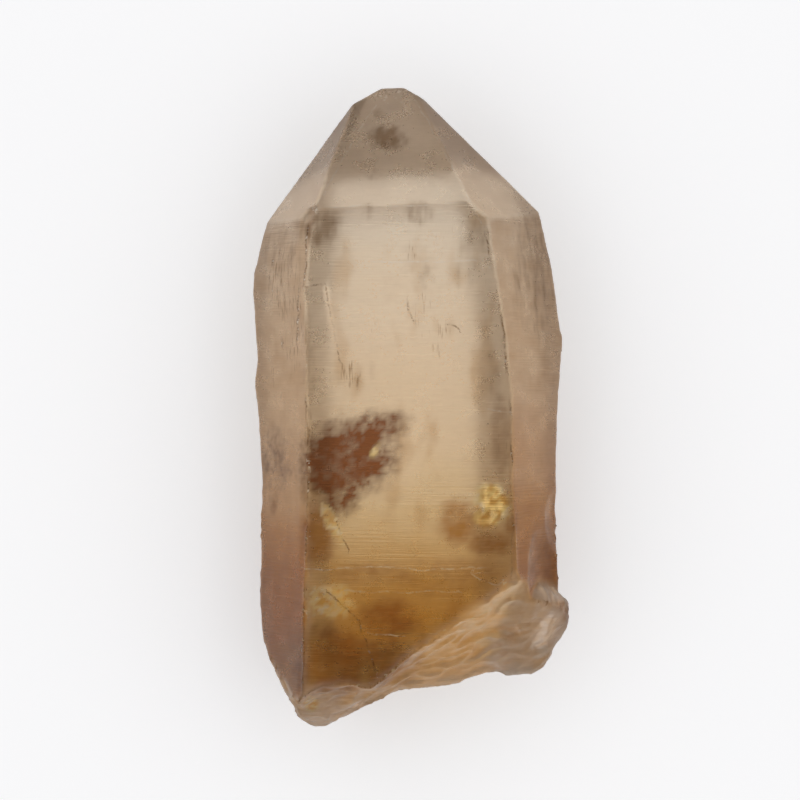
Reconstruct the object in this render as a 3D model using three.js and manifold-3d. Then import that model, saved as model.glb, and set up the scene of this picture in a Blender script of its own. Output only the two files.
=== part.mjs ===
// A single citrine point: a six-sided quartz prism with a six-faced termination and a broken base.
// It lies on its back prism face. Millimetres, X across, +Y along the growth axis to the tip,
// +Z up through the broad front face. The origin is under the middle of its bounding box.

import * as THREE from 'three';
import { mergeVertices } from 'three/addons/utils/BufferGeometryUtils.js';
import { ImprovedNoise } from 'three/addons/math/ImprovedNoise.js';
import Module from 'manifold-3d';

const wasm = await Module();
wasm.setup();

// Driving dimensions.
const thickness = 54;       // from the resting face to the front face
const footY = -86;          // the prism runs past the break, which then trims it
const headY = 86;           // and past the tip, which the termination trims
const shoulderDrop = 1.4;   // how far the front face leans back at the shoulder
const pyramidSlope = 0.79;  // depth lost per mm of height on the front termination face, 38 degrees
const leftZ = 31.9;         // height of the long edge on the left
const rightZ = 33.3;        // and of the one on the right
const lowestBand = 1.4;     // shortest growth band
const tallestBand = 4.6;    // tallest growth band
const bandDepth = 0.16;     // most that one growth band stands proud of the next
const bandRiser = 0.12;     // half the height of the slope between two bands
const breakRise = 11;       // how far the break climbs from its lowest line to the resting face
const lowestBreakZ = 29;    // height of that lowest line
const breakGrid = 1.7;      // spacing of the grid that makes the broken surface
const farAway = 220;        // size of the blocks that trim with one plane
const meetingGap = 1e-4;    // points closer than this are one

const { clamp, lerp, mapLinear, smoothstep } = THREE.MathUtils;
const at = (x, y, z) => new THREE.Vector3(x, y, z);
const noise = new ImprovedNoise();

// A repeatable random number from 0 to 1.
function seeded(seed) {
  let state = seed >>> 0;
  return () => {
    state = (state + 0x6d2b79f5) >>> 0;
    let t = state;
    t = Math.imul(t ^ (t >>> 15), t | 1);
    t ^= t + Math.imul(t ^ (t >>> 7), t | 61);
    return ((t ^ (t >>> 14)) >>> 0) / 2 ** 32;
  };
}

// Reads a value at y from a list of [y, value] points, in straight stretches.
function along(points, y) {
  if (y <= points[0][0]) return points[0][1];
  for (let i = 1; i < points.length; i++) {
    const [y0, a] = points[i - 1];
    const [y1, b] = points[i];
    if (y <= y1) return mapLinear(y, y0, y1, a, b);
  }
  return points[points.length - 1][1];
}

// A geometry with its points alone, each only once.
function bare(geometry) {
  geometry.deleteAttribute('normal');
  geometry.deleteAttribute('uv');
  return mergeVertices(geometry, meetingGap);
}

// A closed geometry as a solid that can be cut and joined.
function solidOf(geometry) {
  const closed = bare(geometry);
  return new wasm.Manifold(new wasm.Mesh({
    numProp: 3,
    vertProperties: new Float32Array(closed.attributes.position.array),
    triVerts: new Uint32Array(closed.index.array),
  }));
}

// A solid as a geometry.
function geometryOf(solid) {
  const mesh = solid.getMesh();
  const geometry = new THREE.BufferGeometry();
  geometry.setAttribute('position', new THREE.BufferAttribute(new Float32Array(mesh.vertProperties), 3));
  geometry.setIndex(new THREE.BufferAttribute(new Uint32Array(mesh.triVerts), 1));
  return geometry;
}

// The front face is level, then leans back a little under the termination.
const frontLean = [[8, 0], [30, 0.35 * shoulderDrop], [50, shoulderDrop], [62, 1.6 * shoulderDrop]];
const frontZ = (y) => thickness - along(frontLean, y);

// The long edges of the prism, in order round it from the front left.
// Each has its distance across at some heights up the crystal, and its z. The strip is a narrow facet
// beside the front left edge.
const longEdges = {
  frontLeft: {
    x: [[-86, -26.5], [-48, -25.4], [-18, -24.7], [29, -25.3], [44, -23.8], [62, -21.8]],
    z: frontZ,
  },
  strip: {
    x: [[-86, -28], [-48, -26.8], [20, -26.7], [27, -27.6], [46, -26.8], [62, -25.1]],
    z: (y) => frontZ(y) - along([[-86, 2.4], [20, 3.0], [27, 3.3], [62, 3.2]], y),
  },
  left: {
    x: [[-86, -36.6], [-58, -36.8], [-48, -37.4], [-18, -36.9], [0, -38.0], [4, -38.6], [7, -38.8],
      [9, -38.0], [29, -39.2], [34, -38.9], [36, -38.2], [41, -37.2], [47, -35.2], [62, -30.0]],
    z: () => leftZ,
  },
  backLeft: {
    x: [[-86, -19.4], [-20, -20.4], [30, -20.6], [46, -18.6], [62, -15.0]],
    z: () => 0,
  },
  backRight: {
    x: [[-86, 18.2], [-20, 17.4], [16, 17.8], [48, 14.2], [62, 11.4]],
    z: () => 0,
  },
  right: {
    x: [[-86, 34.6], [-68, 35.2], [-60, 37.0], [-50, 37.6], [-34, 37.7], [-26, 36.8], [-13, 36.4],
      [0, 36.9], [14, 38.1], [17, 38.3], [19, 37.6], [35, 35.4], [48, 32.3], [62, 28.6]],
    z: () => rightZ,
  },
  frontRight: {
    x: [[-86, 26], [-40, 25.8], [-20, 24.9], [0, 24.8], [16, 23.5], [34, 20.6], [48, 18.5], [62, 16.7]],
    z: frontZ,
  },
};

// A point on a long edge of the prism.
const edgePoint = (name, y) => at(along(longEdges[name].x, y), y, longEdges[name].z(y));

// Growth bands up the prism, with how far each stands back.
function growthBands() {
  const random = seeded(41);
  const bands = [];
  let y = footY;
  while (y < headY - tallestBand) {
    const next = y + lerp(lowestBand, tallestBand, random());
    bands.push({ from: y, to: next, back: bandDepth * random() });
    y = next;
  }
  bands.push({ from: y, to: headY, back: 0 });
  return bands;
}

// The prism, with one ring of corners at the top and bottom of each growth band. The resting face has no
// bands, so that it is flat.
function prism() {
  const rings = [];
  for (const { from, to, back } of growthBands()) {
    for (const y of [from + bandRiser, to - bandRiser]) {
      rings.push(Object.keys(longEdges).map((name) => {
        const p = edgePoint(name, y);
        p.x -= Math.sign(p.x) * back;
        if (p.z > 0) p.z -= Math.sign(p.z - leftZ) * back;
        return p;
      }));
    }
  }
  return solidOf(loft(rings));
}

// A closed skin over rings that all have the same number of corners, with a fan of triangles at each end.
function loft(rings) {
  const n = rings[0].length;
  const position = rings.flat().flatMap((p) => [p.x, p.y, p.z]);
  const index = [];
  const next = (r, i) => r * n + ((i + 1) % n);
  for (let r = 0; r + 1 < rings.length; r++) {
    for (let i = 0; i < n; i++) {
      const a = r * n + i;
      index.push(a, a + n, next(r, i), next(r, i), a + n, next(r + 1, i));
    }
  }
  for (const r of [0, rings.length - 1]) {
    const middle = rings[r].reduce((sum, p) => sum.add(p), at(0, 0, 0)).divideScalar(n);
    const centre = position.length / 3;
    position.push(middle.x, middle.y, middle.z);
    for (let i = 0; i < n; i++) {
      const pair = r === 0 ? [r * n + i, next(r, i)] : [next(r, i), r * n + i];
      index.push(...pair, centre);
    }
  }
  const geometry = new THREE.BufferGeometry();
  geometry.setAttribute('position', new THREE.Float32BufferAttribute(position, 3));
  geometry.setIndex(index);
  return geometry;
}

// A block that fills everything beyond the plane through three points, away from the crystal's heart.
const heart = at(0, 0, thickness / 2);
function beyond(p, q, r) {
  const plane = new THREE.Plane().setFromCoplanarPoints(p, q, r);
  if (plane.distanceToPoint(heart) > 0) plane.negate();
  const block = new THREE.BoxGeometry(farAway, farAway, farAway);
  block.translate(0, 0, farAway / 2);
  block.applyQuaternion(new THREE.Quaternion().setFromUnitVectors(at(0, 0, 1), plane.normal));
  block.translate(...plane.projectPoint(heart, at(0, 0, 0)));
  return solidOf(block);
}

// Height at which each long edge meets the termination.
const shoulderY = {
  frontLeft: 48.1, frontRight: 45.6, right: 48.2, backRight: 46.5, backLeft: 44.5, left: 45.6,
};

// The six termination faces and the three small ones that blunt the tip. The front face starts a little
// higher on its right. A crown point is where two of the faces meet under the tip.
function terminationCuts() {
  const shoulder = {};
  for (const [name, y] of Object.entries(shoulderY)) shoulder[name] = edgePoint(name, y);
  const { frontLeft, frontRight, right, backRight, backLeft, left } = shoulder;
  const frontTop = at(14.8, 49.9, frontZ(49.9));
  const onFront = (x, y) => at(x, y, frontLeft.z - (y - frontLeft.y - 0.7) * pyramidSlope);
  const crownLeft = onFront(-14.3, 73.8);
  const crownRight = onFront(4.3, 73.4);
  return [
    beyond(frontLeft, frontTop, crownLeft),
    beyond(frontLeft, left, crownLeft),
    beyond(frontRight, right, crownRight),
    beyond(left, backLeft, at(-13.8, 75.2, 29.6)),
    beyond(right, backRight, at(3.4, 76.6, 29.4)),
    beyond(backLeft, backRight, at(-9.0, 77.0, 26.2)),
    beyond(at(-13.4, 75.6, 30), at(-8.1, 78.8, 30), at(-9.5, 77.4, 20)),
    beyond(at(-1.4, 79.6, 30), at(3.4, 76.6, 30), at(1.6, 77.2, 20)),
    beyond(at(-8.0, 79.6, 30), at(0, 80.0, 30), at(-4, 79.0, 24)),
  ];
}

// The break at the base. Its lowest line and the line where it meets the front face are [x, y] points.
const breakLow = [
  [-44, -50], [-36.7, -58], [-31.2, -70.5], [-27, -78.4], [-23, -80.2], [-20, -79.6], [-14.6, -76.8],
  [-7.6, -73.2], [-1.4, -70.8], [9.8, -69.8], [15, -68.2], [19.8, -66.8], [27.2, -67.6], [33.5, -66],
  [38.4, -57.6], [44, -50],
];
const breakFront = [
  [-42.9, -48.6], [-35.8, -56], [-26.7, -71.4], [-23.4, -69.6], [-10.4, -68.5], [-3.9, -64.2], [4.7, -59.1],
  [16.8, -51.7], [25.2, -44.3], [29.1, -39.8], [42.7, -29.1],
];

// Hollow shells in the break. Where two of them meet there is a ridge.
const shells = [
  { x: 20, z: 50, depth: 3.4, reach: 17 },
  { x: 4, z: 47, depth: 2.6, reach: 13 },
  { x: -18, z: 49, depth: 2.2, reach: 10 },
  { x: 31, z: 38, depth: 2.4, reach: 11 },
  { x: 12, z: 37, depth: 1.7, reach: 10 },
  { x: -8, z: 36, depth: 1.6, reach: 9 },
  { x: 24, z: 20, depth: 3.2, reach: 14 },
  { x: 2, z: 16, depth: 3.6, reach: 16 },
  { x: -18, z: 20, depth: 3.0, reach: 14 },
  { x: 12, z: 5, depth: 2.8, reach: 12 },
  { x: -10, z: 3, depth: 2.4, reach: 11 },
];

// How deep the deepest shell is at (x, z), with the ribs that run round inside it.
function shellDepth(x, z) {
  const depths = shells.map(({ x: sx, z: sz, depth, reach }) => {
    const d = Math.hypot(x - sx, z - sz) / reach;
    return d < 1 ? depth * (1 - d * d) + 0.16 * Math.cos(d * 13) * (1 - d) : 0;
  });
  return Math.max(0, ...depths);
}

// The height y of the broken surface at (x, z). The shells fade out along its lowest line, so that the
// outline seen from the front stays.
function breakY(x, z) {
  const toFront = clamp((z - lowestBreakZ) / (thickness - lowestBreakZ), 0, 1.3);
  const toBack = clamp((lowestBreakZ - z) / lowestBreakZ, 0, 1.2);
  const low = along(breakLow, x);
  const slope = low + (along(breakFront, x) - low) * toFront ** 1.25 + breakRise * toBack ** 1.4;
  const fade = lerp(0.25, 1, Math.min(1, Math.abs(z - lowestBreakZ) / 9));
  const coarse = 0.55 * noise.noise(x / 5.2, z / 4.4, 1.7);
  const fine = 0.3 * noise.noise(x / 2.3, z / 2.1, 6.1);
  return slope + shellDepth(x, z) * fade + coarse + fine;
}

// Everything below the break, as one block with the broken surface on top.
function belowBreak() {
  const box = new THREE.Box3(at(-44, -130, -3), at(44, -90, thickness + 3));
  const size = box.getSize(at(0, 0, 0));
  const cells = [size.x, size.z].map((side) => Math.round(side / breakGrid));
  const block = new THREE.BoxGeometry(size.x, size.y, size.z, cells[0], 1, cells[1]);
  block.translate(...box.getCenter(at(0, 0, 0)));
  const p = block.attributes.position;
  for (let i = 0; i < p.count; i++) {
    if (p.getY(i) === box.max.y) p.setY(i, breakY(p.getX(i), p.getZ(i)));
  }
  return solidOf(block);
}

// A lump or a hollow: a ball with flat facets, stretched and a little uneven, and leaned up about Y.
function lump({ x, y, z, rx, ry, rz, lean = 0, rough = 0.08, facets = 2, seed = 1 }) {
  const ball = bare(new THREE.IcosahedronGeometry(1, facets));
  const p = ball.attributes.position;
  for (let i = 0; i < p.count; i++) {
    const v = at(0, 0, 0).fromBufferAttribute(p, i);
    const swell = 1 + rough * 2 * noise.noise(v.x * 1.7 + seed * 3.1, v.y * 1.7, v.z * 1.7 + seed);
    p.setXYZ(i, v.x * rx * swell, v.y * ry * swell, v.z * rz * swell);
  }
  ball.rotateY(-lean);
  ball.translate(x, y, z);
  return solidOf(ball);
}

// The knob low on the right, where another crystal once grew against this one.
const knobs = [
  { x: 28.6, y: -52.6, z: 33, rx: 10.7, ry: 9.8, rz: 15, facets: 8, rough: 0.07, seed: 3 },
  { x: 29.0, y: -59.6, z: 38, rx: 9.3, ry: 8.2, rz: 11, facets: 7, rough: 0.09, seed: 5 },
  { x: 21.5, y: -55.0, z: 43, rx: 10.6, ry: 9.6, rz: 8.6, facets: 7, rough: 0.07, seed: 12 },
  { x: 36.4, y: -50.4, z: 30, rx: 3.0, ry: 3.4, rz: 5.2, facets: 4, rough: 0.12, seed: 14 },
  { x: 34.8, y: -56.4, z: 42, rx: 3.8, ry: 3.6, rz: 4.2, facets: 4, rough: 0.12, seed: 15 },
];

// Shallow shells flaked off the prism faces, each between two long edges, with its place across them from
// 0 to 1, its depth, its half width across the face and its half height along the crystal.
const flakes = [
  { between: ['frontRight', 'right'], across: 0.62, y: -41, depth: 1.5, half: 8.5, tall: 15 },
  { between: ['frontRight', 'right'], across: 0.95, y: -27, depth: 0.9, half: 6.5, tall: 9 },
  { between: ['frontRight', 'right'], across: 0.12, y: -50, depth: 1.7, half: 5.5, tall: 7 },
  { between: ['right', 'backRight'], across: 0.1, y: -40, depth: 1.6, half: 8, tall: 12 },
  { between: ['right', 'backRight'], across: 0.85, y: -56, depth: 2.2, half: 10, tall: 11 },
  { between: ['backLeft', 'left'], across: 0.1, y: -66, depth: 2.4, half: 9, tall: 12 },
  { between: ['backLeft', 'left'], across: 0.75, y: -60, depth: 1.2, half: 8, tall: 10 },
];

// The ball that leaves such a shell. It stands out of the face by all but a quarter of its radius.
function flakeBall({ between, across, y, depth, half, tall }, seed) {
  const [a, b] = between.map((name) => edgePoint(name, y));
  const lean = Math.atan2(b.x - a.x, a.z - b.z);
  const sunk = 0.25;
  const widen = 1 / Math.sqrt(1 - (1 - sunk) ** 2);
  const rx = depth / sunk;
  const centre = a.lerp(b, across).add(at(Math.cos(lean), 0, Math.sin(lean)).multiplyScalar(rx - depth));
  return lump({ ...centre, rx, ry: tall * widen, rz: half * widen, lean, facets: 7, rough: 0.035, seed });
}

// The chips off the tip, the shelly chip with its pit at the left shoulder, the one where the break meets
// the right front edge, and the one at the right shoulder.
const bites = [
  { x: -3.7, y: 80.9, z: 31.0, rx: 3.1, ry: 2.7, rz: 2.6, facets: 4, rough: 0.16, seed: 7 },
  { x: -8.8, y: 79.4, z: 33.0, rx: 1.7, ry: 1.5, rz: 3.0, facets: 2, rough: 0.16, seed: 8 },
  { x: -25.7, y: 47.4, z: 52.9, rx: 3.0, ry: 3.2, rz: 2.9, facets: 5, rough: 0.07, seed: 17 },
  { x: -24.4, y: 44.7, z: 53.4, rx: 1.1, ry: 1.0, rz: 1.3, facets: 2, rough: 0.12, seed: 18 },
  { x: 24.8, y: -43.1, z: 55.4, rx: 2.8, ry: 1.7, rz: 2.6, facets: 3, rough: 0.1, seed: 19 },
  { x: 18.0, y: 44.4, z: 54.6, rx: 1.2, ry: 1.5, rz: 2.4, facets: 2, rough: 0.1, seed: 20 },
];

// Small chips along each long edge, as [y, radius, half length].
const edgeChips = {
  frontLeft: [
    [44.4, 1.5, 1.9], [34.1, 0.6, 1.8], [29.7, 0.9, 1.6], [16.6, 0.5, 3.0], [2.2, 0.6, 4.6], [-7.7, 0.6, 3.6],
    [-16, 0.9, 1.5], [-22.1, 1.2, 2.4], [-28.2, 1.3, 2.0], [-33.4, 0.7, 3.2], [-48.8, 0.8, 1.6],
    [-56.4, 0.5, 2.4],
  ],
  frontRight: [
    [45, 0.9, 1.2], [32.7, 0.7, 1.6], [25.3, 0.5, 2.4], [8.8, 0.5, 3.4], [-4.2, 0.8, 2.2],
    [-13.6, 0.6, 1.8], [-21.7, 0.6, 3.0], [-35, 0.9, 2.4], [-41.4, 1.8, 2.3],
  ],
  left: [[35.6, 0.8, 1.6], [13.0, 0.6, 3.2], [-8.4, 0.7, 2.6], [-27, 0.6, 3.4], [-44, 0.8, 2.2]],
  right: [[24.0, 0.6, 2.2], [3.4, 0.9, 2.6], [-2.8, 0.6, 1.6], [-11.6, 0.5, 2.2]],
  backLeft: [[33, 1.0, 2.6], [4, 0.9, 3.8], [-30, 1.3, 3.0]],
  backRight: [[26, 1.1, 2.8], [-6, 0.9, 3.4], [-38, 1.4, 3.2]],
};

// The balls that leave those chips. Each is centred a little outside its edge.
function chipBalls() {
  const balls = [];
  for (const [edge, chips] of Object.entries(edgeChips)) {
    for (const [y, radius, length] of chips) {
      const p = edgePoint(edge, y);
      const out = at(p.x, 0, p.z - heart.z).setLength(radius * 0.45);
      const seed = balls.length;
      balls.push(lump({ ...p.add(out), rx: radius, ry: length, rz: radius, facets: 1, rough: 0.2, seed }));
    }
  }
  return balls;
}

// Low growth steps on the front face. Each outline is sunk by its depth at its top edge, and by none at
// its foot.
const steps = [
  {
    depth: 0.55,
    outline: [[-26.3, 29.2], [-24, 28.8], [-20.4, 29.8], [-19.4, 25.8], [-18.2, 18.5], [-16.8, 12.9],
      [-15.8, 8.2], [-17, 1], [-26.3, -3.8]],
  },
  {
    depth: 0.5,
    outline: [[-27.3, -40.8], [-17.1, -44.9], [-14.7, -47.6], [-12.7, -50.1], [-10.8, -53], [-10.1, -56.6],
      [-9.6, -60.3], [-7.9, -62.8], [-10.3, -70], [-27.3, -71.9]],
  },
];
function stepSlab({ depth, outline }) {
  const ys = outline.map(([, y]) => y);
  const [low, high] = [Math.min(...ys), Math.max(...ys)];
  const tall = 8;
  const shape = new THREE.Shape(outline.map(([x, y]) => new THREE.Vector2(x, y)));
  const slab = new THREE.ExtrudeGeometry(shape, { depth: tall, bevelEnabled: false });
  const p = slab.attributes.position;
  for (let i = 0; i < p.count; i++) {
    const y = p.getY(i);
    p.setZ(i, p.getZ(i) + frontZ(y) + 0.05 - depth * smoothstep(y, low, high));
  }
  return solidOf(slab);
}

// The whole crystal, grown, flaked, broken off and chipped, in that order.
function crystalSolid() {
  let solid = prism();
  const cut = (tool) => { solid = solid.subtract(tool); };
  flakes.map(flakeBall).forEach(cut);
  for (const knob of knobs) solid = solid.add(lump(knob));
  terminationCuts().forEach(cut);
  cut(belowBreak());
  bites.map(lump).forEach(cut);
  steps.map(stepSlab).forEach(cut);
  chipBalls().forEach(cut);
  return solid;
}

// Puts the origin under the middle of the bounding box, on the surface that the crystal lies on.
function centred(geometry) {
  geometry.computeBoundingBox();
  const { min, max } = geometry.boundingBox;
  return geometry.translate(-(min.x + max.x) / 2, -(min.y + max.y) / 2, -min.z);
}

const citrine = new THREE.MeshStandardMaterial({
  name: 'citrine', color: 0xb89468, roughness: 0.4, metalness: 0, transparent: true, opacity: 0.7,
});

const crystal = new THREE.Mesh(centred(geometryOf(crystalSolid())), citrine);
crystal.name = 'crystal';

const part = new THREE.Group();
part.add(crystal);
export default part;
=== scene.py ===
import math
import bpy
import numpy
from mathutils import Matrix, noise


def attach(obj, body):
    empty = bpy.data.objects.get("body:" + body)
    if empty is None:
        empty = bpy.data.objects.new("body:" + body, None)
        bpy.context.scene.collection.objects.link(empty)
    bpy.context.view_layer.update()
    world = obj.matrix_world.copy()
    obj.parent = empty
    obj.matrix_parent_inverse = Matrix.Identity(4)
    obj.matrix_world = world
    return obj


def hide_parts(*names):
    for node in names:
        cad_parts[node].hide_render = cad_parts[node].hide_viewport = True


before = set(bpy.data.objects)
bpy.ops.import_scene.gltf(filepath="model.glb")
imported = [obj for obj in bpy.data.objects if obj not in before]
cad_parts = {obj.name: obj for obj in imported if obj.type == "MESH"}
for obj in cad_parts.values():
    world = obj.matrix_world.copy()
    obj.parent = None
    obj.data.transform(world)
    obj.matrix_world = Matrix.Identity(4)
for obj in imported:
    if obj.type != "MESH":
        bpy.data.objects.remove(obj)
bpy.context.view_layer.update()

# One loose citrine point. It lies on its back face on a pale surface and is seen from straight above.
# Metres, +X across, +Y to the tip, +Z up out of the front face.

mm = 0.001


# Shader sockets

class Socket:
    # A shader socket. Sums on it, written in plain Python, add Math nodes.
    def __init__(self, tree, socket):
        self.tree = tree
        self.socket = socket

    def node(self, kind, settings, inputs, output=0):
        made = self.tree.nodes.new("ShaderNode" + kind)
        for name, value in settings.items():
            if name == "stops":
                setStops(made.color_ramp, value)
            else:
                setattr(made, name, value)
        for name, value in inputs.items():
            if isinstance(value, Socket):
                self.tree.links.new(value.socket, made.inputs[name])
            else:
                made.inputs[name].default_value = value
        return Socket(self.tree, made.outputs[output])

    def maths(self, operation, a, b):
        return self.node("Math", {"operation": operation}, {0: a, 1: b})

    def __add__(self, other):
        return self.maths("ADD", self, other)

    def __sub__(self, other):
        return self.maths("SUBTRACT", self, other)

    def __rsub__(self, other):
        return self.maths("SUBTRACT", other, self)

    def __mul__(self, other):
        return self.maths("MULTIPLY", self, other)

    def __pow__(self, other):
        return self.maths("POWER", self, other)

    __radd__ = __add__
    __rmul__ = __mul__

    def smooth(self, low, high):
        settings = {"interpolation_type": "SMOOTHSTEP"}
        inputs = {"Value": self, "From Min": low, "From Max": high}
        if low > high:
            inputs.update({"From Min": high, "From Max": low, "To Min": 1.0, "To Max": 0.0})
        return self.node("MapRange", settings, inputs)

    def mixed(self, a, b, blend="MIX"):
        # colour a where this is 0, and colour b laid on it where it is 1
        return self.node("Mix", {"data_type": "RGBA", "blend_type": blend}, {0: self, 6: a, 7: b}, 2)


def setStops(ramp, stops):
    while len(ramp.elements) > 1:
        ramp.elements.remove(ramp.elements[-1])
    for i, (place, color) in enumerate(stops):
        stop = ramp.elements[0] if i == 0 else ramp.elements.new(place)
        stop.position = place
        stop.color = color


def rgb(red, green, blue):
    # a colour as it looks on a screen, 0 to 255, as the light that the shader needs
    return tuple((c / 255) ** 2.2 for c in (red, green, blue)) + (1.0,)


# Camera

view = {
    "lens": 145.0,                      # millimetres, as the sensor's width
    "sensor": 36.0,
    "across": 199.0 * mm,               # what the picture's width takes in at the crystal's outline
    "outlineHeight": 32.0 * mm,         # how high that outline is above the floor
    "centre": (-2.6 * mm, 1.6 * mm),
}


def makeCamera():
    data = bpy.data.cameras.new("camera")
    data.lens = view["lens"]
    data.sensor_width = view["sensor"]
    camera = bpy.data.objects.new("camera", data)
    bpy.context.scene.collection.objects.link(camera)
    away = view["across"] * view["lens"] / view["sensor"]
    camera.location = (*view["centre"], view["outlineHeight"] + away)
    bpy.context.scene.camera = camera


makeCamera()
print("camera placed")


# Floor and light

studio = {
    "floorWidth": 4.0,
    "floorDrop": 0.2 * mm,              # how far the floor is below the crystal
    "floorColor": rgb(238, 238, 240),
    "floorRoughness": 0.9,
    "glowColor": (1.0, 1.0, 1.0, 1.0),
    "glowStrength": 0.32,               # the floor is a light table that shines this much itself
    "skyStrength": 1.04,
    "skyHeights": [                     # how bright the sky is from the horizon, 0, to overhead, 1
        (0.0, 0.28),
        (0.40, 0.26),
        (0.72, 1.0),
        (0.925, 1.0),
        (0.97, 0.4),
    ],
}


def makeStudio():
    bpy.ops.object.select_all(action="DESELECT")
    bpy.ops.mesh.primitive_plane_add(size=studio["floorWidth"], location=(0, 0, -studio["floorDrop"]))
    floor = bpy.context.object
    floor.name = "floor"
    material = bpy.data.materials.new("floorPaper")
    material.use_nodes = True
    shader = material.node_tree.nodes["Principled BSDF"]
    shader.inputs["Base Color"].default_value = studio["floorColor"]
    shader.inputs["Roughness"].default_value = studio["floorRoughness"]
    shader.inputs["Emission Color"].default_value = studio["glowColor"]
    shader.inputs["Emission Strength"].default_value = studio["glowStrength"]
    floor.data.materials.append(material)
    bpy.context.scene.world = softSky()


def softSky():
    # a wide soft ring of light, high up in a dimmer room
    world = bpy.data.worlds.new("sky")
    world.use_nodes = True
    tree = world.node_tree
    direction = Socket(tree, None).node("TexCoord", {}, {})
    height = direction.node("SeparateXYZ", {}, {0: direction}, 2)
    stops = [(place, (light, light, light, 1.0)) for place, light in studio["skyHeights"]]
    light = height.node("ValToRGB", {"stops": stops}, {0: height})
    background = tree.nodes["Background"]
    background.inputs["Strength"].default_value = studio["skyStrength"]
    tree.links.new(light.socket, background.inputs["Color"])
    return world


makeStudio()
bpy.context.scene.view_settings.view_transform = "Standard"
print("studio lit")


# Crystal: its skin

crystal = {
    "voxel": 0.66 * mm,
    "samePoint": 0.001 * mm,            # corners of the solid that are this close are one point
    "faceAngles": [90, 149, 30, -30, -151, -90],    # where the six prism faces look, round the long axis
    "grownLikeness": (0.93, 0.975),     # how nearly a grown face looks where one of those does, as a cosine
    "breakTop": (-30.0, -22.0),         # nothing nearer the tip than these millimetres is broken
    "pointSlope": (0.3, 0.45),          # how much the faces of the point look to the tip, as a sine
    "restingBand": (0.4, 1.5),          # relief starts between these millimetres up, so that it lies flat
    "creaseSharpness": (0.045, 0.12),   # 1 less the cosine between an edge point's direction and its faces'
    "relief": [
        # pattern, its grain across, along and up, its height, the faces that it is on and its settings
        ("CLOUDS", (11 * mm, 16 * mm, 11 * mm), 0.24 * mm, "grown", {"noise_depth": 1}),
        ("CLOUDS", (15 * mm, 1.7 * mm, 15 * mm), 0.12 * mm, "prism", {"noise_depth": 3}),
        ("MUSGRAVE", (7 * mm, 7 * mm, 4 * mm), 0.6 * mm, "broken", {"musgrave_type": "RIDGED_MULTIFRACTAL"}),
        ("CLOUDS", (1.6 * mm, 1.6 * mm, 1.6 * mm), 0.3 * mm, "broken", {"noise_depth": 2}),
    ],
}


def onlySelect(piece):
    bpy.ops.object.select_all(action="DESELECT")
    bpy.context.view_layer.objects.active = piece
    piece.select_set(True)


def applied(piece, kind, **settings):
    modifier = piece.modifiers.new(kind.lower(), kind)
    for name, value in settings.items():
        setattr(modifier, name, value)
    bpy.ops.object.modifier_apply(modifier=modifier.name)


def raised(piece, kind, grain, height, group, look):
    # pushes the skin in and out by a pattern whose grain is that long across, along and up
    texture = bpy.data.textures.new(kind.lower(), kind)
    texture.noise_scale = 1.0
    for name, value in look.items():
        setattr(texture, name, value)
    ruler = bpy.data.objects.new("ruler", None)
    ruler.scale = grain
    bpy.context.scene.collection.objects.link(ruler)
    bpy.context.view_layer.update()
    applied(piece, "DISPLACE", texture=texture, texture_coords="OBJECT", texture_coords_object=ruler,
            strength=height, mid_level=0.5, vertex_group=group)
    bpy.data.objects.remove(ruler)


def ramped(value, low, high):
    # 0 below low, 1 above high, and smooth between
    t = numpy.clip((value - low) / (high - low), 0.0, 1.0)
    return t * t * (3.0 - 2.0 * t)


def pointsOf(piece):
    # where each point of the mesh is, in millimetres, and which way it looks
    mesh = piece.data
    places = numpy.empty(3 * len(mesh.vertices))
    normals = numpy.empty(3 * len(mesh.vertices))
    mesh.vertices.foreach_get("co", places)
    mesh.vertices.foreach_get("normal", normals)
    return places.reshape(-1, 3) / mm, normals.reshape(-1, 3)


def grownAndBroken(piece):
    # how much each point is on a grown face, on one of the prism's, and on the break, which looks elsewhere
    places, normals = pointsOf(piece)
    likeness = numpy.zeros(len(places))
    for angle in crystal["faceAngles"]:
        turn = math.radians(angle)
        likeness = numpy.maximum(likeness, normals[:, 0] * math.cos(turn) + normals[:, 2] * math.sin(turn))
    broken = 1.0 - ramped(likeness, *crystal["grownLikeness"])
    broken *= 1.0 - ramped(places[:, 1], *crystal["breakTop"])
    above = ramped(places[:, 2], *crystal["restingBand"])
    prism = (1.0 - broken) * (1.0 - ramped(normals[:, 1], *crystal["pointSlope"]))
    return {"grown": (1.0 - broken) * above, "prism": prism * above, "broken": broken * above}


def addGroups(piece, weights):
    least = 0.01        # points that weigh less than this are left out
    for name, values in weights.items():
        group = piece.vertex_groups.new(name=name)
        for i, value in enumerate(values):
            if value > least:
                group.add([i], float(value), "REPLACE")


def creases(piece):
    # 1 along the sharp edges of the skin and 0 on its flat parts
    mesh = piece.data
    normals = pointsOf(piece)[1]
    corners = numpy.empty(len(mesh.loops), dtype=numpy.int32)
    faces = numpy.empty(3 * len(mesh.polygons))
    mesh.loops.foreach_get("vertex_index", corners)
    mesh.polygons.foreach_get("normal", faces)
    ofCorner = numpy.repeat(faces.reshape(-1, 3), len(mesh.loops) // len(mesh.polygons), axis=0)
    level = numpy.ones(len(normals))
    numpy.minimum.at(level, corners, numpy.sum(ofCorner * normals[corners], axis=1))
    return ramped(1.0 - level, *crystal["creaseSharpness"])


def addLayer(piece, name, values):
    # keeps a number or a colour for each point, which the material reads by its name
    colored = values.ndim == 2
    layer = piece.data.attributes.new(name, "FLOAT_COLOR" if colored else "FLOAT", "POINT")
    if colored:
        values = numpy.column_stack([values, numpy.ones(len(values))])
    layer.data.foreach_set("color" if colored else "value", values.ravel())


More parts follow.
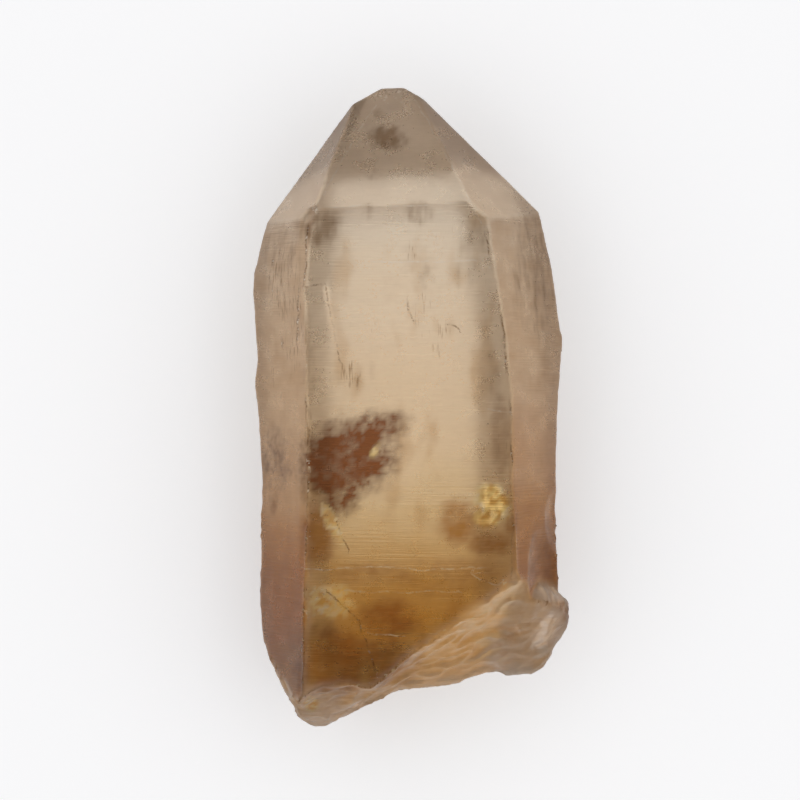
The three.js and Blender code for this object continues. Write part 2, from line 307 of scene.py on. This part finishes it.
def smoothed(piece, values, rounds):
    # spreads a number for each point over the points beside it
    mesh = piece.data
    ends = numpy.empty(2 * len(mesh.edges), dtype=numpy.int32)
    mesh.edges.foreach_get("vertices", ends)
    a, b = ends.reshape(-1, 2).T
    beside = numpy.bincount(ends, minlength=len(values))
    for _ in range(rounds):
        total = numpy.bincount(a, values[b], len(values)) + numpy.bincount(b, values[a], len(values))
        values = (values + total) / (1 + beside)
    return values


def grained(places, grain, octaves):
    # noise round 0.5 at each point, whose grain is that many millimetres long across, along and up
    fading, finer, spread = 0.9, 2.0, 0.2
    values = [noise.fractal(spot, fading, finer, octaves) for spot in (places / grain).tolist()]
    values = numpy.array(values)
    return 0.5 + spread * (values - values.mean()) / values.std()


def crystalSkin():
    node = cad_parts["crystal"]
    piece = node.copy()
    piece.data = node.data.copy()
    piece.name = "crystalPoint"
    piece.data.name = "crystalPoint"
    bpy.context.scene.collection.objects.link(piece)
    onlySelect(piece)
    bpy.ops.object.mode_set(mode="EDIT")
    bpy.ops.mesh.select_all(action="SELECT")
    bpy.ops.mesh.remove_doubles(threshold=crystal["samePoint"])
    bpy.ops.object.mode_set(mode="OBJECT")
    applied(piece, "REMESH", mode="VOXEL", voxel_size=crystal["voxel"], use_smooth_shade=True)
    addLayer(piece, "crease", creases(piece))
    addGroups(piece, grownAndBroken(piece))
    for relief in crystal["relief"]:
        raised(piece, *relief)
    piece.vertex_groups.clear()
    return piece


# Crystal: its colours

citrine = {
    "heights": [        # what the skin lets through at each height up the crystal, in millimetres
        (-80, (0.66, 0.36, 0.07)),
        (-60, (0.56, 0.27, 0.04)),
        (-44, (0.63, 0.37, 0.11)),
        (-33, (0.82, 0.60, 0.31)),
        (-24, (0.94, 0.77, 0.50)),
        (-12, (1.0, 0.84, 0.62)),
        (16, (1.0, 0.86, 0.68)),
        (44, (1.0, 0.91, 0.78)),
        (60, (0.93, 0.81, 0.69)),
        (80, (0.46, 0.40, 0.36)),
    ],
    # the colours laid on those or put in their place
    "broken": (1.0, 0.89, 0.79),        # the break
    "tan": (1.0, 0.65, 0.32),           # the middle of it
    "side": (0.27, 0.145, 0.055),       # painted shade on the side faces of the prism
    "amber": (0.66, 0.30, 0.03),        # their lower part
    "flankShade": (0.55, 0.46, 0.38),        # painted shade on the side faces of the point
    "mottle": (0.70, 0.60, 0.50),
    "cloud": (0.075, 0.015, 0.005),
    "smoke": (0.36, 0.17, 0.05),
    # grey smudges, and painted shade beside the right edge of the front face
    "sootAndShade": (0.24, 0.17, 0.12),
    "haze": (0.50, 0.42, 0.38),
    "goldenFlashHighlight": (1.0, 0.80, 0.30),        # painted highlight: golden patches of light off fractures inside
    "ember": (0.78, 0.48, 0.16),        # their dark grains
    "sparkHighlight": (1.0, 0.94, 0.66),         # the bright grains of that painted highlight
    "glint": (1.0, 0.62, 0.20),
    "streak": (0.34, 0.26, 0.19),
    "crack": (0.18, 0.11, 0.06),
    "darkEdgesAndHollowShade": (0.30, 0.20, 0.12),         # darker along the edges, and painted shade in the hollows of the break
    # white of the chips, and a painted highlight on the ridges of the break
    "chip": (1.0, 0.98, 0.95),
    # the quartz itself
    "ior": 1.54,
    "sheenColor": (0.92, 0.54, 0.24, 1.0),      # warmer than real quartz, whose sheen has no colour
    "absorptionColor": rgb(225, 190, 140),
    "absorptionDensity": 2.4,           # low, because most of the colour is in the skin
    "bumpStrength": 0.8,
    "bumpHeight": 0.1 * mm,
    # the shader's own noises: grain in millimetres across, along and up, detail and roughness
    "fleck": (1.3, 1.0, 1.3, 2.0, 0.7),
    "lines": (11.0, 0.5, 11.0, 1.0, 0.6),
    "threads": (0.5, 4.0, 0.5, 1.0, 0.6),
    "crackSpread": 0.12,                # a crack's half width squared, in square millimetres
    "seamSpread": 0.09,                 # and of a pale growth line's
    "seamCover": 0.6,
}

# How those colours are spread. A pair is where something starts and where it is full, and a drift is
# how far noise moves it. Heights, places and drifts are in millimetres.
paint = {
    "grains": {         # each noise's grain in millimetres across, along and up, and its octaves
        "broad": ((26, 14, 26), 2),
        "wisps": ((6, 4, 6), 4),
        "mottle": ((7, 15, 9), 3),
        "crumbs": ((1.7, 1.5, 1.7), 2),
        "upright": ((1.6, 7, 1.6), 3),
    },
    "torn": {           # how wispy and how crumbly a mark is, and the cover where it starts and is full
        "smoke": (0.45, 0.2, 0.05, 1.1),
        "cloud": (0.3, 0.5, -0.15, 1.1),
        "goldenFlashHighlight": (0.5, 0.5, 0.2, 0.9),
        "glint": (0.4, 0.3, 0.0, 1.0),
        "haze": (0.4, 0.4, 0.1, 1.1),
    },
    "tornFade": (0.0, 0.35),
    "spotEdge": (0.4, 1.35),            # a spot fades between these parts of its half width
    "frontHeights": (18.0, 32.0),       # marks show above these only, measured up from the floor
    "levelFace": (0.8, 0.92),           # how much the front face looks up, and the back one down
    "flankFace": (0.35, 0.55),          # how much the side faces of the point look sideways
    "brokenRounds": 5,                  # rounds of smoothing
    "sideRounds": 2,
    "hollowRounds": 12,
    "broadDrift": 14.0,                 # of the bands of colour, by the broad noise and the wisps
    "wispDrift": 5.0,
    "rightPart": (-8.0, 14.0),          # half the break's colour left of these, all of it right of them
    "tanEdge": (14.0, 26.0),            # its tan part ends here
    "tanDrift": 20.0,
    "tanCover": 0.8,
    "sideShadeCover": 0.8,
    "amberHeights": (-44.0, 4.0),
    "amberRise": 14.0,                  # the amber reaches that much higher at the right,
    "amberRight": (8.0, 30.0),          # past these places
    # painted shade in the hollows of the break, and a painted highlight on its bumps
    "hollowShadeDepths": (-0.05, 0.35),
    "hollowShadeCover": 0.24,
    "bumps": (0.0, 0.4),
    "ridgeHighlightCover": 0.2,
    "emberCrumbs": (-0.46, -0.3),       # of the crumbs noise, turned over
    "sparkHighlightCrumbs": (0.56, 0.7),
    "glintCrumbs": (0.35, 0.7),
    "frontMottle": (0.55, 1.0),
    "sideMottle": (0.5, 1.0),
    "sideMottleCover": 0.35,
    "crackReach": 9.0,                  # any point further from a crack counts as this far
    "crackTaper": 2.0,                  # a step past a crack's end counts this many times
    "crackNear": (1.4, 2.2),            # how near a crack its layer fades out
    "crackHeights": (24.0, 34.0),       # cracks show above these only
    "crackDrift": 0.9,
    "crackGrain": (0.35, 0.6),
}


# Crystal: where its marks are

# Each mark is x, y, half width, half height in millimetres as seen from the front, its turn in degrees
# and its strength.
marks = {
    "cloud": [      # the red-brown cloud at the left
        (-16.0, -12.8, 12.0, 10.4, 20, 1.2),
        (-18.4, -14.6, 8.6, 9.6, 20, 1.35),
        (-9.4, -5.4, 10.0, 4.8, 12, 0.95),
        (-16.8, -20.6, 6.0, 7.6, -24, 0.95),
        (-6.8, -12.0, 5.0, 8.0, -10, 0.75),
        (-33.0, -13.0, 5.4, 9.0, 0, 0.5),
        (-24.0, -18.0, 3.0, 8.0, 0, 0.5),
    ],
    "sootAndShade": [       # the dark spot near the tip and grey smudges, and painted shade in the band beside the right edge of the front face
        (-5.7, 66.3, 5.6, 3.8, -6, 1.25),
        (-7.6, 72.6, 2.0, 1.8, 0, 0.6),
        (-9.2, 56.3, 2.0, 2.0, 0, 0.5),
        (7.0, 55.0, 3.0, 2.0, 0, 0.4),
        (-22.0, 43.4, 6.0, 5.4, 0, 1.0),
        (-10.4, 47.4, 2.0, 2.6, 0, 0.7),
        (2.0, 47.0, 4.6, 3.6, 0, 0.7),
        (16.0, 42.0, 4.0, 6.0, 0, 0.5),
        (20.5, 14.0, 4.2, 24.0, 4, 0.35),
        (31.0, 34.0, 8.0, 20.0, 0, 0.6),
        (22.4, -8.0, 4.0, 13.0, 0, 0.3),
        (14.0, 36.0, 6.0, 12.0, 0, 0.35),
        (-19.0, 36.0, 5.0, 10.0, 0, 0.35),
        (3.4, 31.0, 2.4, 3.4, 0, 0.7),
        (-13.0, 7.8, 6.0, 4.0, 30, 0.5),
        (-32.0, 38.0, 6.0, 8.0, 0, 0.5),
        (-24.5, 6.0, 1.6, 26.0, 0, 0.6),
    ],
    "smoke": [      # brown patches in the amber
        (11.6, -28.0, 6.0, 7.0, 10, 0.9),
        (19.0, -33.0, 8.0, 3.4, 0, 0.8),
        (24.2, -26.0, 2.0, 8.0, 0, 0.7),
        (-22.6, -31.0, 4.6, 10.0, 0, 1.0),
        (-10.0, -40.5, 16.0, 3.4, 0, 0.5),
        (10.0, -41.0, 16.0, 6.0, 0, 0.5),
        (-5.6, -51.6, 9.0, 6.0, 0, 0.85),
        (-18.5, -62.0, 11.0, 10.0, 0, 1.0),
        (-6.0, -62.0, 9.0, 8.0, 0, 0.9),
    ],
    "chips": [      # white chips, mostly along edges
        (-5.5, 78.2, 6.0, 3.0, 0, 1.0),
        (-8.8, -66.0, 1.4, 0.8, 20, 1.0),
        (14.4, -53.8, 3.0, 0.9, 12, 1.0),
        (22.6, -42.4, 1.0, 1.2, 0, 1.0),
        (-25.0, -14.7, 0.5, 2.2, 0, 1.0),
        (-25.0, -31.0, 0.5, 1.6, 0, 1.0),
        (-25.2, -50.4, 0.5, 1.6, 0, 1.0),
        (-23.2, 48.4, 1.0, 1.4, 0, 1.0),
        (18.0, 35.0, 1.0, 3.0, 10, 0.8),
    ],
    "goldenFlashHighlight": [     # painted highlight: golden patches of light off fractures inside, the brightest at the right
        (19.8, -23.4, 5.0, 5.4, 12, 1.1),
        (18.6, -26.8, 4.0, 3.4, 0, 1.0),
        (-19.2, -28.0, 1.8, 6.0, 28, 0.8),
        (-19.4, -47.2, 6.6, 4.4, 0, 0.9),
        (-24.4, -72.6, 2.2, 2.4, 0, 1.0),
        (-8.6, -10.8, 1.0, 2.2, -30, 0.7),
    ],
    "glint": [      # what shines in that one
        (20.0, -22.8, 3.2, 5.0, 14, 1.0),
        (18.4, -27.4, 3.0, 2.6, 0, 0.9),
    ],
    "haze": [       # dull grey patches
        (21.8, -7.0, 2.9, 11.0, 0, 1.0),
        (-21.4, -53.5, 3.6, 3.2, 0, 0.7),
        (-33.8, -23.0, 1.6, 4.0, 0, 0.6),
        (32.5, -37.0, 4.0, 10.0, 0, 0.7),
        (1.0, 30.0, 10.0, 14.0, 0, 0.25),
    ],
    "streaks": [    # upright scratches
        (2.9, 22.0, 2.4, 8.0, -4, 0.75),
        (7.0, 16.4, 2.6, 6.4, -12, 0.75),
        (-11.0, 24.6, 1.6, 3.0, 0, 0.7),
        (-8.8, 19.5, 1.8, 2.4, 0, 0.8),
        (0.0, 37.6, 2.0, 3.4, 0, 0.7),
        (-14.4, 7.5, 3.4, 4.4, 30, 1.0),
        (-30.8, 30.0, 5.0, 12.0, 0, 0.9),
        (-28.0, 18.0, 3.6, 12.0, 0, 0.8),
        (-34.0, 5.0, 2.6, 8.0, 0, 0.6),
        (20.5, 30.0, 4.0, 8.0, 0, 0.4),
        (22.0, -6.0, 2.6, 12.0, 0, 0.45),
        (-24.9, -4.0, 1.0, 8.0, 0, 1.0),
        (5.0, 42.0, 10.0, 5.0, 0, 0.4),
    ],
}


def marked(places, spots):
    # how strongly the spots cover each point of the front half
    cover = numpy.zeros(len(places))
    for x, y, halfWide, halfTall, turn, strength in spots:
        c, s = math.cos(math.radians(turn)), math.sin(math.radians(turn))
        across, along = places[:, 0] - x, places[:, 1] - y
        far = numpy.hypot((c * across + s * along) / halfWide, (c * along - s * across) / halfTall)
        cover = numpy.maximum(cover, strength * (1.0 - ramped(far, *paint["spotEdge"])))
    return cover * ramped(places[:, 2], *paint["frontHeights"])


# Each crack or growth line runs through points x, y in millimetres, as seen from the front.
cracks = {
    "dark": [
        [(-25.5, 29.0), (-20.7, 29.7), (-19.2, 21.5), (-17.3, 11.8), (-15.8, 8.4)],
        [(-20.0, -44.8), (-12.5, -51.6), (-10.8, -57.6), (-8.4, -63.7)],
        [(-27.2, 28.8), (-27.6, 20.0), (-27.2, 13.8)],
        [(-25.0, 44.0), (-25.7, 29.0)],
        [(-25.3, 6.0), (-25.0, -12.0)],
        [(-25.0, -18.0), (-25.4, -36.0)],
        [(-25.9, -48.0), (-26.3, -68.0)],
        [(17.6, 44.0), (20.4, 30.0)],
        [(22.0, 22.0), (23.4, 8.0)],
        [(24.0, 2.0), (24.6, -14.0)],
        [(24.6, -26.0), (24.4, -42.0)],
        [(-0.8, 26.4), (-0.4, 23.4), (0.8, 20.6)],
        [(9.0, 19.6), (10.4, 19.4), (11.7, 18.4)],
        [(-18.0, -27.6), (-16.4, -32.4), (-15.4, -34.8)],
        [(-34.2, 36.0), (-34.4, 30.0), (-33.8, 28.4)],
        [(-31.8, 19.0), (-31.4, 14.4)],
    ],
    "pale": [
        [(-22.6, 48.0), (-8.0, 48.8), (0.0, 48.6), (14.0, 49.4)],
        [(-8.6, 75.0), (-11.7, 69.9), (-23.4, 48.2)],
        [(0.8, 76.7), (8.4, 62.4), (14.6, 49.6), (18.2, 42.0)],
        [(-25.6, -39.2), (-8.0, -39.0), (8.0, -39.4), (18.0, -39.0)],
        [(-9.0, 35.2), (2.0, 34.9), (16.0, 35.3)],
        [(-16.0, -44.6), (-2.0, -45.0), (12.0, -44.6)],
        [(19.0, -0.8), (24.0, -1.4)],
        [(6.0, -55.0), (20.0, -49.4)],
        [(14.5, -40.6), (20.6, -43.2), (22.4, -42.0)],
        [(-10.0, -55.0), (-2.0, -55.4)],
    ],
}


def crackField(places, lines):
    # how far each point is to one side of its nearest crack, in millimetres, and 1 near it
    gap = numpy.full(len(places), paint["crackReach"])
    for points in lines:
        for a, b in zip(points, points[1:]):
            long = math.dist(a, b)
            ux, uy = (b[0] - a[0]) / long, (b[1] - a[1]) / long
            dx, dy = places[:, 0] - a[0], places[:, 1] - a[1]
            beyond = numpy.clip(numpy.abs(dx * ux + dy * uy - long / 2) - long / 2, 0.0, None)
            side = dx * uy - dy * ux
            far = numpy.copysign(numpy.hypot(side, paint["crackTaper"] * beyond), side)
            gap = numpy.where(numpy.abs(far) < numpy.abs(gap), far, gap)
    near = (1.0 - ramped(numpy.abs(gap), *paint["crackNear"])) * ramped(places[:, 2], *paint["crackHeights"])
    return gap, near


def laid(tint, cover, name):
    # the tint seen through that colour, as far as cover goes
    return tint * (1.0 - numpy.clip(cover, 0.0, 1.0)[:, None] * (1.0 - numpy.array(citrine[name])))


def instead(tint, cover, name):
    # the tint with that colour in its place, as far as cover goes
    cover = numpy.clip(cover, 0.0, 1.0)[:, None]
    return tint * (1.0 - cover) + cover * numpy.array(citrine[name])


def zonesOf(piece):
    # how far each point belongs to each part of the crystal, from 0 to 1
    places, normals = pointsOf(piece)
    front = ramped(normals[:, 2], *paint["levelFace"])
    resting = ramped(-normals[:, 2], *paint["levelFace"])
    point = ramped(normals[:, 1], *crystal["pointSlope"])
    broken = smoothed(piece, grownAndBroken(piece)["broken"], paint["brokenRounds"])
    side = (1.0 - front) * (1.0 - point) * (1.0 - broken) * (1.0 - resting)
    flankShade = point * ramped(numpy.abs(normals[:, 0]), *paint["flankFace"])
    return {
        "front": front,
        "upper": ramped(places[:, 2], *paint["frontHeights"]),
        "point": point,
        "broken": broken,
        "right": ramped(places[:, 0], *paint["rightPart"]),
        "side": smoothed(piece, side, paint["sideRounds"]),
        "flankShade": smoothed(piece, flankShade, paint["sideRounds"]),
    }


def hollowsOf(piece):
    # how deep each point lies in a hollow, in millimetres, and less than 0 on a bump
    places, normals = pointsOf(piece)
    soft = [smoothed(piece, places[:, axis], paint["hollowRounds"]) for axis in range(3)]
    return numpy.sum((numpy.stack(soft, axis=1) - places) * normals, axis=1)


def clouded(name, cover, grains):
    # a mark with a torn, grainy edge
    wispy, crumbly, low, high = paint["torn"][name]
    torn = cover[name] + (grains["wisps"] - 0.5) * wispy + (grains["crumbs"] - 0.5) * crumbly
    return ramped(torn, low, high) * ramped(cover[name], *paint["tornFade"])


def plainTint(places, uneven, zones, wisps):
    # bands of colour up the crystal, then the break, and painted shade on the side faces of the prism and of
    # the point
    right, broken = zones["right"], zones["broken"]
    heights, colors = zip(*citrine["heights"])
    tint = numpy.stack([numpy.interp(uneven, heights, channel) for channel in zip(*colors)], axis=1)
    tint = instead(tint, broken * (0.5 + 0.5 * right), "broken")
    across = places[:, 0] + (wisps - 0.5) * paint["tanDrift"]
    tan = broken * (1.0 - ramped(across, *paint["tanEdge"])) * right
    tint = instead(tint, paint["tanCover"] * tan, "tan")
    # painted shade on the side faces of the prism
    tint = laid(tint, paint["sideShadeCover"] * zones["side"] * (0.9 + 0.2 * wisps), "side")
    # painted shade on the side faces of the point
    return laid(tint, zones["flankShade"], "flankShade")


def paintCrystal(piece):
    places = pointsOf(piece)[0]
    zones = zonesOf(piece)
    hollow = hollowsOf(piece)
    cover = {name: marked(places, spots) for name, spots in marks.items()}
    grains = {name: grained(places, *look) for name, look in paint["grains"].items()}
    wisps, mottle, crumbs, upright = (grains[name] for name in ("wisps", "mottle", "crumbs", "upright"))
    side, broken = zones["side"], zones["broken"]

    uneven = places[:, 1] + (grains["broad"] - 0.5) * paint["broadDrift"]
    uneven = uneven + (wisps - 0.5) * paint["wispDrift"]
    tint = plainTint(places, uneven, zones, wisps)
    tint = laid(tint, clouded("smoke", cover, grains), "smoke")
    # grey smudges, and painted shade beside the right edge of the front face
    sootAndShade = cover["sootAndShade"] + (upright - 0.5) * 0.8 + (crumbs - 0.5) * 0.2
    tint = laid(tint, ramped(sootAndShade, 0.1, 1.4) * ramped(cover["sootAndShade"], 0.0, 0.5), "sootAndShade")
    tint = laid(tint, clouded("cloud", cover, grains) * (0.9 + 0.1 * wisps + 0.1 * crumbs), "cloud")
    foot = uneven - paint["amberRise"] * ramped(places[:, 0], *paint["amberRight"])
    tint = laid(tint, side * (1.0 - ramped(foot, *paint["amberHeights"])), "amber")
    # painted shade in the hollows of the break, and a painted highlight on its bumps
    tint = laid(tint, paint["hollowShadeCover"] * broken * ramped(hollow, *paint["hollowShadeDepths"]), "darkEdgesAndHollowShade")
    tint = instead(tint, paint["ridgeHighlightCover"] * broken * ramped(-hollow, *paint["bumps"]), "chip")

    # painted highlight: golden patches of light off fractures inside, with dark and bright grains
    flash = clouded("goldenFlashHighlight", cover, grains)
    tint = instead(tint, flash, "goldenFlashHighlight")
    tint = laid(tint, flash * ramped(-crumbs, *paint["emberCrumbs"]), "ember")
    tint = instead(tint, flash * ramped(crumbs, *paint["sparkHighlightCrumbs"]), "sparkHighlight")
    glint = clouded("glint", cover, grains) * (0.3 + 0.6 * ramped(crumbs, *paint["glintCrumbs"]))
    tint = instead(tint, glint, "glint")
    haze = clouded("haze", cover, grains)
    tint = laid(tint, haze, "haze")
    frontMottle = ramped(mottle, *paint["frontMottle"]) * zones["front"] * zones["upper"]
    tint = laid(tint, frontMottle * (1.0 - zones["point"]), "mottle")
    sideMottle = ramped(mottle * 0.4 + upright * 0.6, *paint["sideMottle"])
    tint = laid(tint, paint["sideMottleCover"] * side * sideMottle, "mottle")

    addLayer(piece, "tint", tint)
    addLayer(piece, "frost", 0.2 + wisps * 0.12 + haze * 0.1 + broken * 0.08)
    addLayer(piece, "streaks", cover["streaks"])
    addLayer(piece, "chips", cover["chips"])
    addLayer(piece, "glint", glint)
    addLayer(piece, "lined", 1.0 - zones["point"])
    for name, lines in cracks.items():
        gap, near = crackField(places, lines)
        addLayer(piece, name + "Gap", gap + (wisps - 0.5) * paint["crackDrift"])
        addLayer(piece, name + "Near", near * (0.25 + 0.75 * ramped(upright, *paint["crackGrain"])))


def makeCrystal():
    piece = crystalSkin()
    paintCrystal(piece)
    piece.data.materials.clear()
    piece.data.materials.append(citrineMaterial())
    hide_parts("crystal")
    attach(piece, "root")


# Crystal: its material

def citrineMaterial():
    material = bpy.data.materials.new("citrineQuartz")
    material.use_nodes = True
    tree = material.node_tree
    shader = tree.nodes["Principled BSDF"]
    output = tree.nodes["Material Output"]
    start = Socket(tree, None)
    place = start.node("TexCoord", {}, {}, 3)       # Object coordinates

    def grain(across, along, up, detail, coarse):
        # noise round 0.5 whose grain is that many millimetres long
        scale = tuple(1.0 / (size * mm) for size in (across, along, up))
        stretched = place.node("VectorMath", {"operation": "MULTIPLY"}, {0: place, 1: scale})
        inputs = {"Vector": stretched, "Scale": 1.0, "Detail": detail, "Roughness": coarse}
        return stretched.node("TexNoise", {}, inputs) * 2.0 - 0.5

    def layer(name, output=2):
        return start.node("Attribute", {"attribute_name": name}, {}, output)

    def darkened(color, cover, name):
        return cover.mixed(color, (*citrine[name], 1.0), "MULTIPLY")

    fleck = grain(*citrine["fleck"])
    lines = grain(*citrine["lines"])
    threads = grain(*citrine["threads"])
    chipColor = (*citrine["chip"], 1.0)
    dotted = fleck.smooth(0.15, 0.6)        # breaks the cracks up

    color = layer("tint", 0)
    streaks = layer("streaks")
    streak = (streaks * 0.6 + (threads - 0.5) * 0.9).smooth(0.45, 0.95) * streaks.smooth(0.1, 0.6)
    color = darkened(color, streak, "streak")
    crack = (layer("darkGap") ** 2.0).smooth(citrine["crackSpread"], 0.0) * layer("darkNear") * dotted
    color = darkened(color, crack, "crack")
    seam = (layer("paleGap") ** 2.0).smooth(citrine["seamSpread"], 0.0) * layer("paleNear") * dotted
    color = (seam * citrine["seamCover"]).mixed(color, chipColor)
    # darker along the sharp edges
    color = darkened(color, layer("crease") * threads.smooth(0.2, 0.7), "darkEdgesAndHollowShade")
    chips = (layer("crease") + crack * 0.6 + layer("chips")) * fleck.smooth(0.62, 0.84)
    color = chips.mixed(color, chipColor)
    fine = (lines * 0.5 + fleck * 0.5 - 0.5) * 0.16 + 0.985         # lighter and darker by a few percent
    multiply = {"data_type": "RGBA", "blend_type": "MULTIPLY"}
    color = start.node("Mix", multiply, {0: 1.0, 6: color, 7: fine}, 2)
    tree.links.new(color.socket, shader.inputs["Base Color"])

    rough = layer("frost") + fleck * 0.1 + chips * 0.2
    tree.links.new(rough.socket, shader.inputs["Roughness"])
    tree.links.new(layer("glint").socket, shader.inputs["Metallic"])
    bumps = {"Strength": citrine["bumpStrength"], "Distance": citrine["bumpHeight"]}
    bump = start.node("Bump", {}, {**bumps, "Height": lines * layer("lined")})
    tree.links.new(bump.socket, shader.inputs["Normal"])

    shader.inputs["Transmission Weight"].default_value = 1.0
    shader.inputs["IOR"].default_value = citrine["ior"]
    shader.inputs["Specular Tint"].default_value = citrine["sheenColor"]
    inside = tree.nodes.new("ShaderNodeVolumeAbsorption")
    inside.inputs["Color"].default_value = citrine["absorptionColor"]
    inside.inputs["Density"].default_value = citrine["absorptionDensity"]
    tree.links.new(inside.outputs["Volume"], output.inputs["Volume"])
    return material


makeCrystal()
print("crystal made")
